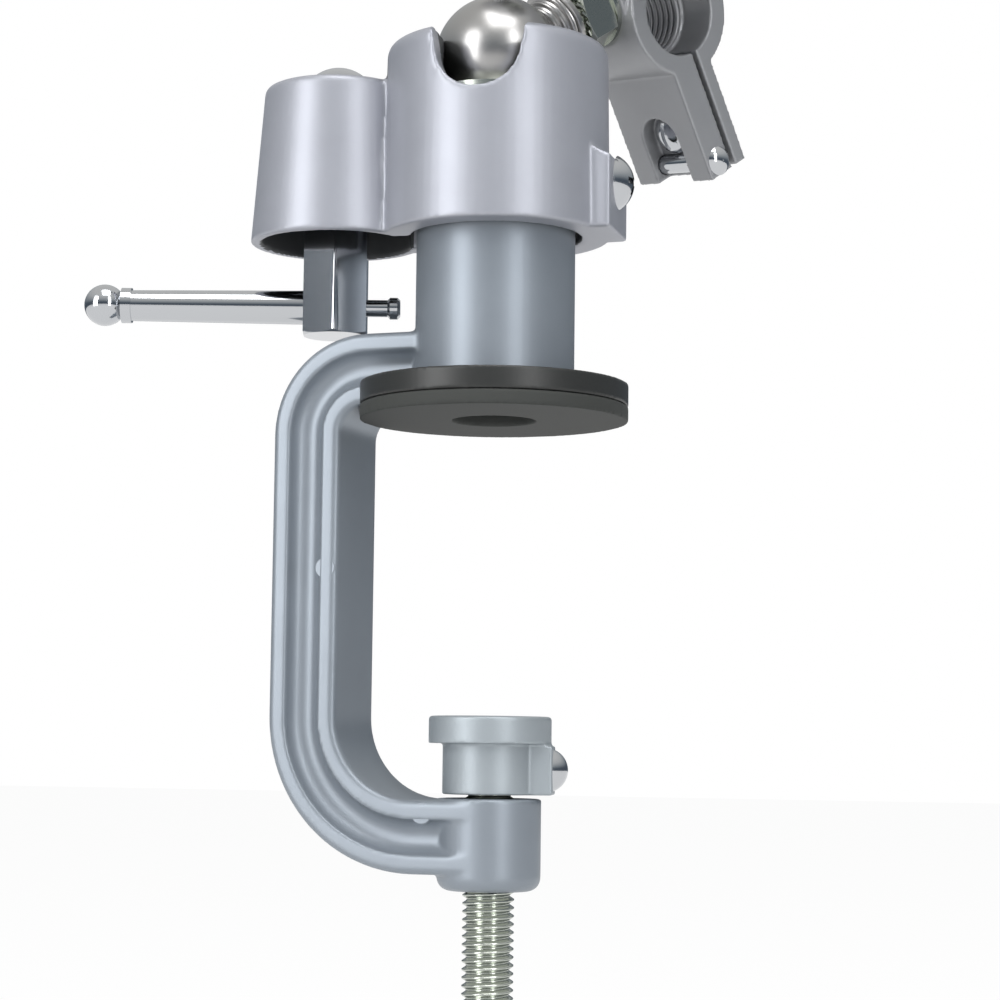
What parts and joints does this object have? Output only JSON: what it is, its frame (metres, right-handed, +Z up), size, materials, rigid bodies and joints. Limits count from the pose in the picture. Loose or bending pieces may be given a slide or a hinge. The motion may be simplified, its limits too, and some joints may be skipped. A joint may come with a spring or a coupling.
{
  "type": "clamp-on bench vise",
  "caption": "Small bench vise that clamps to a table edge: screw clamp frame, lockable swivel housing with ball joint, and a two-jaw head.",
  "frame": {"origin": "centre of the rubber bench pad's underside, on the axis of the post and of the clamp screw", "axes": "+Z up along the post's axis, -X towards the spine of the clamp frame, +Y by the right-hand rule"},
  "size_m": [0.1084, 0.0801, 0.2792],
  "materials": {
    "frame_paint": "satin",
    "disc_plastic": "matte",
    "pad_rubber": "matte",
    "presser_cast": "grainy",
    "chrome_plate": "polished",
    "zinc_plate": "satin",
    "housing_paint": "satin metallic",
    "polished_ball": "polished",
    "head_paint": "satin metallic",
    "jaw_plastic": "matte"
  },
  "bodies": {
    "frame": {"clamp_frame": "frame_paint", "pad_disc": "disc_plastic", "bench_pad": "pad_rubber"},
    "presser": {"presser_pad": "presser_cast", "presser_screw": "chrome_plate"},
    "clamp_spindle": {"clamp_screw": "zinc_plate"},
    "clamp_handle": {"clamp_bar": "chrome_plate", "clamp_bar_knobs": "chrome_plate"},
    "housing": {"swivel_housing": "housing_paint", "guide_screw": "chrome_plate", "rocker_arm": "presser_cast", "fulcrum_pin": "chrome_plate"},
    "lock": {"lock_bolt": "chrome_plate", "bolt_clip": "chrome_plate", "bolt_cap": "chrome_plate", "lock_lever": "chrome_plate"},
    "seat": {"ball_seat": "zinc_plate"},
    "ball": {"ball_stud": "polished_ball", "toothed_washer": "zinc_plate", "jam_nut": "zinc_plate", "stud_washer": "zinc_plate"},
    "head": {"head_casting": "head_paint", "pinch_screw": "chrome_plate", "keeper_pin": "chrome_plate", "guide_rods": "chrome_plate", "end_plate": "head_paint", "rod_screws": "zinc_plate", "fixed_jaw_pad": "jaw_plastic", "fixed_pad_screws": "zinc_plate"},
    "jaw": {"moving_jaw": "head_paint", "moving_jaw_pad": "jaw_plastic", "moving_pad_screws": "zinc_plate"},
    "lead_spindle": {"lead_screw": "zinc_plate", "lead_screw_clip": "chrome_plate", "lead_screw_washer": "zinc_plate"},
    "lead_handle": {"lead_bar": "chrome_plate", "lead_bar_knobs": "chrome_plate"}
  },
  "joints": [
    {"name": "presser_slide", "type": "slide", "parent": "frame", "child": "presser", "axis": [0, 0, 1], "range_m": [0, 0.0457]},
    {"name": "clamp_turn", "type": "hinge", "parent": "presser", "child": "clamp_spindle", "pos_m": [0, 0, -0.08], "axis": [0, 0, 1], "range_deg": [0, 13200]},
    {"name": "clamp_bar_slide", "type": "slide", "parent": "clamp_spindle", "child": "clamp_handle", "axis": [0, 1, 0], "range_m": [-0.0172, 0.0172]},
    {"name": "housing_turn", "type": "hinge", "parent": "frame", "child": "housing", "pos_m": [0, 0, 0.035], "axis": [0, 0, 1], "continuous": true},
    {"name": "lock_turn", "type": "hinge", "parent": "housing", "child": "lock", "pos_m": [-0.0263, -0.0023, 0.03], "axis": [0, 0, 1], "range_deg": [-60, 60]},
    {"name": "ball_swing", "type": "hinge", "parent": "housing", "child": "seat", "pos_m": [0, 0, 0.0578], "axis": [0, 0, 1], "range_deg": [-85, 85]},
    {"name": "ball_tilt", "type": "hinge", "parent": "seat", "child": "ball", "pos_m": [0, 0, 0.0578], "axis": [-0.829, 0.5592, 0], "range_deg": [-90, 0]},
    {"name": "head_spin", "type": "hinge", "parent": "ball", "child": "head", "pos_m": [0, 0, 0.0578], "axis": [0.4636, 0.6873, 0.5592], "range_deg": [-90, 90]},
    {"name": "jaw_slide", "type": "slide", "parent": "head", "child": "jaw", "axis": [-0.1943, -0.5369, 0.821], "range_m": [-0.0157, 0.0165]},
    {"name": "lead_turn", "type": "hinge", "parent": "head", "child": "lead_spindle", "pos_m": [0.0066, -0.00017, 0.10797], "axis": [-0.1943, -0.5369, 0.821], "range_deg": [-4790, 4560]},
    {"name": "lead_bar_slide", "type": "slide", "parent": "lead_spindle", "child": "lead_handle", "axis": [0.9403, -0.3403, 0], "range_m": [-0.013, 0.013]}
  ],
  "couplings": [
    {"joint": "clamp_turn", "follows": "presser_slide", "rad_per_m": 5026.5},
    {"joint": "lead_turn", "follows": "jaw_slide", "rad_per_m": -5026.5}
  ]
}
